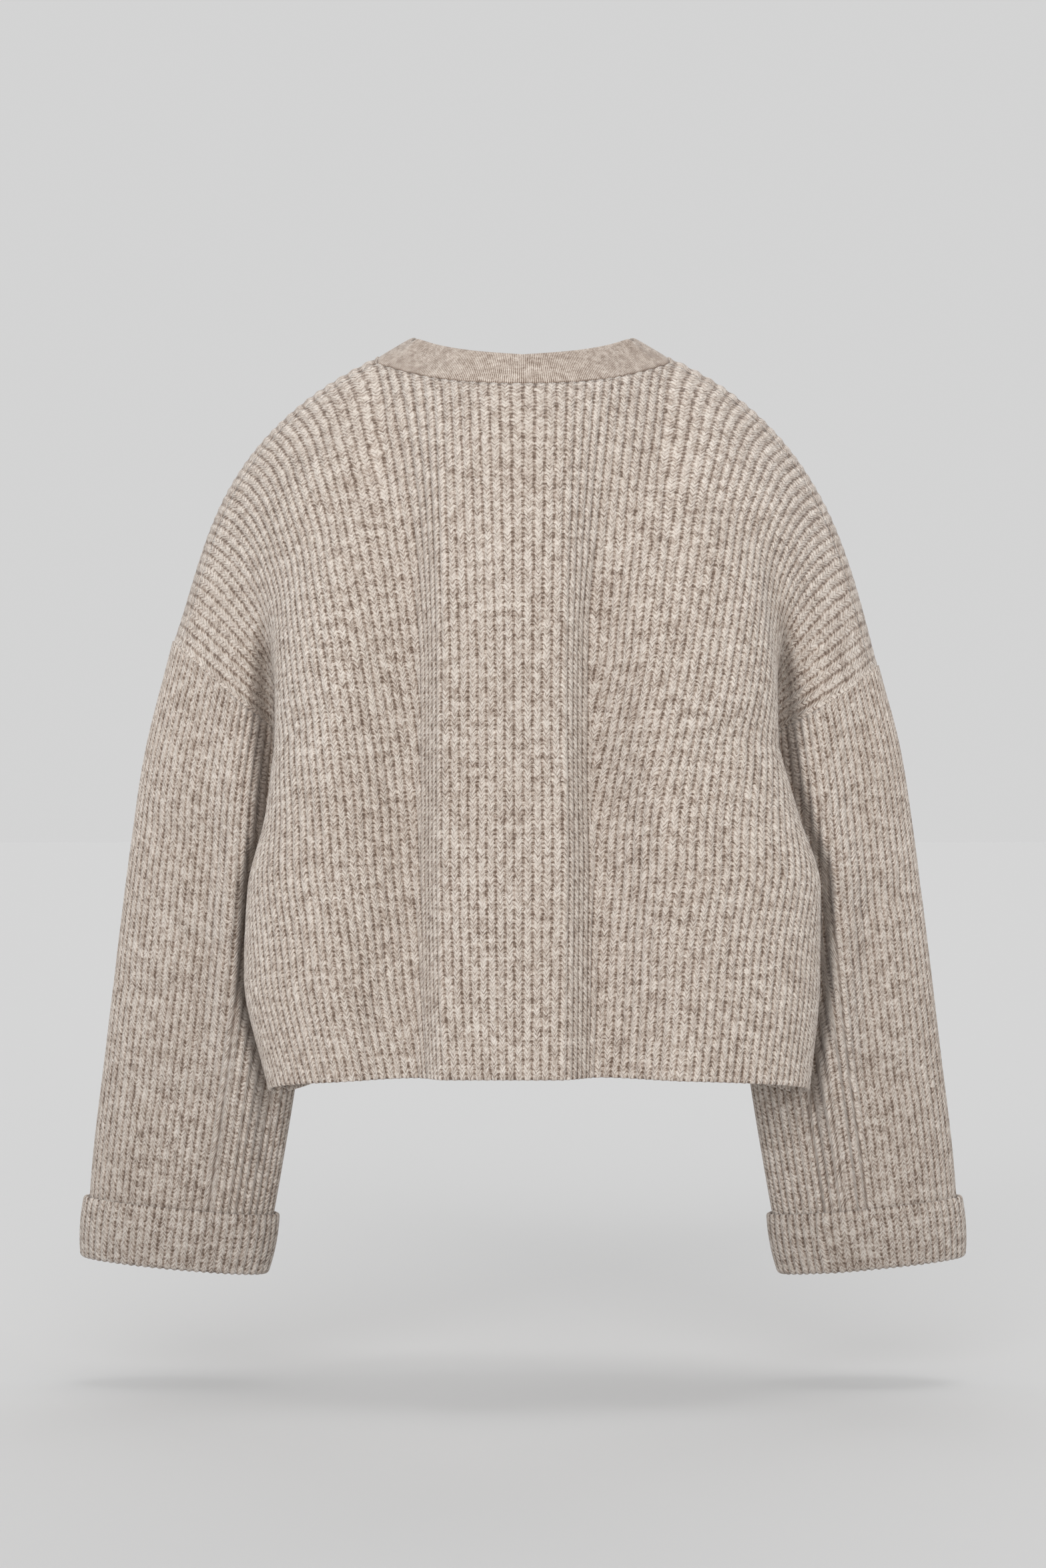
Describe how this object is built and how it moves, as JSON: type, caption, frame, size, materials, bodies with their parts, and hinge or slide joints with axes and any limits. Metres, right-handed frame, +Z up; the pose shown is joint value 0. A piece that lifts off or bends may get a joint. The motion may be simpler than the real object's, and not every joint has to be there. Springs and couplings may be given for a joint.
{
  "type": "oversized cardigan",
  "caption": "Loose cropped cardigan in chunky rib, drop shoulders, V neck band, buttons down the front and wide sleeves with turned-up cuffs, held filled out as if worn.",
  "frame": {"origin": "middle of the neck, level with the two points where the neckband crosses the shoulders", "axes": "+X towards the wearer's right, +Y towards the wearer's front, +Z up; the back faces -Y"},
  "size_m": [0.6534, 0.2763, 0.6847],
  "materials": {
    "rib_knit": "soft matt heather wool",
    "fine_knit": "soft matt heather wool, finer",
    "horn": "smooth brown horn"
  },
  "bodies": {
    "root": {"back": "rib_knit", "band": "fine_knit", "button_1": "horn", "button_2": "horn", "button_3": "horn", "button_4": "horn", "button_5": "horn", "cuff_left": "rib_knit", "cuff_right": "rib_knit", "front_left": "rib_knit", "front_right": "rib_knit", "sleeve_left": "rib_knit", "sleeve_right": "rib_knit"}
  },
  "joints": []
}
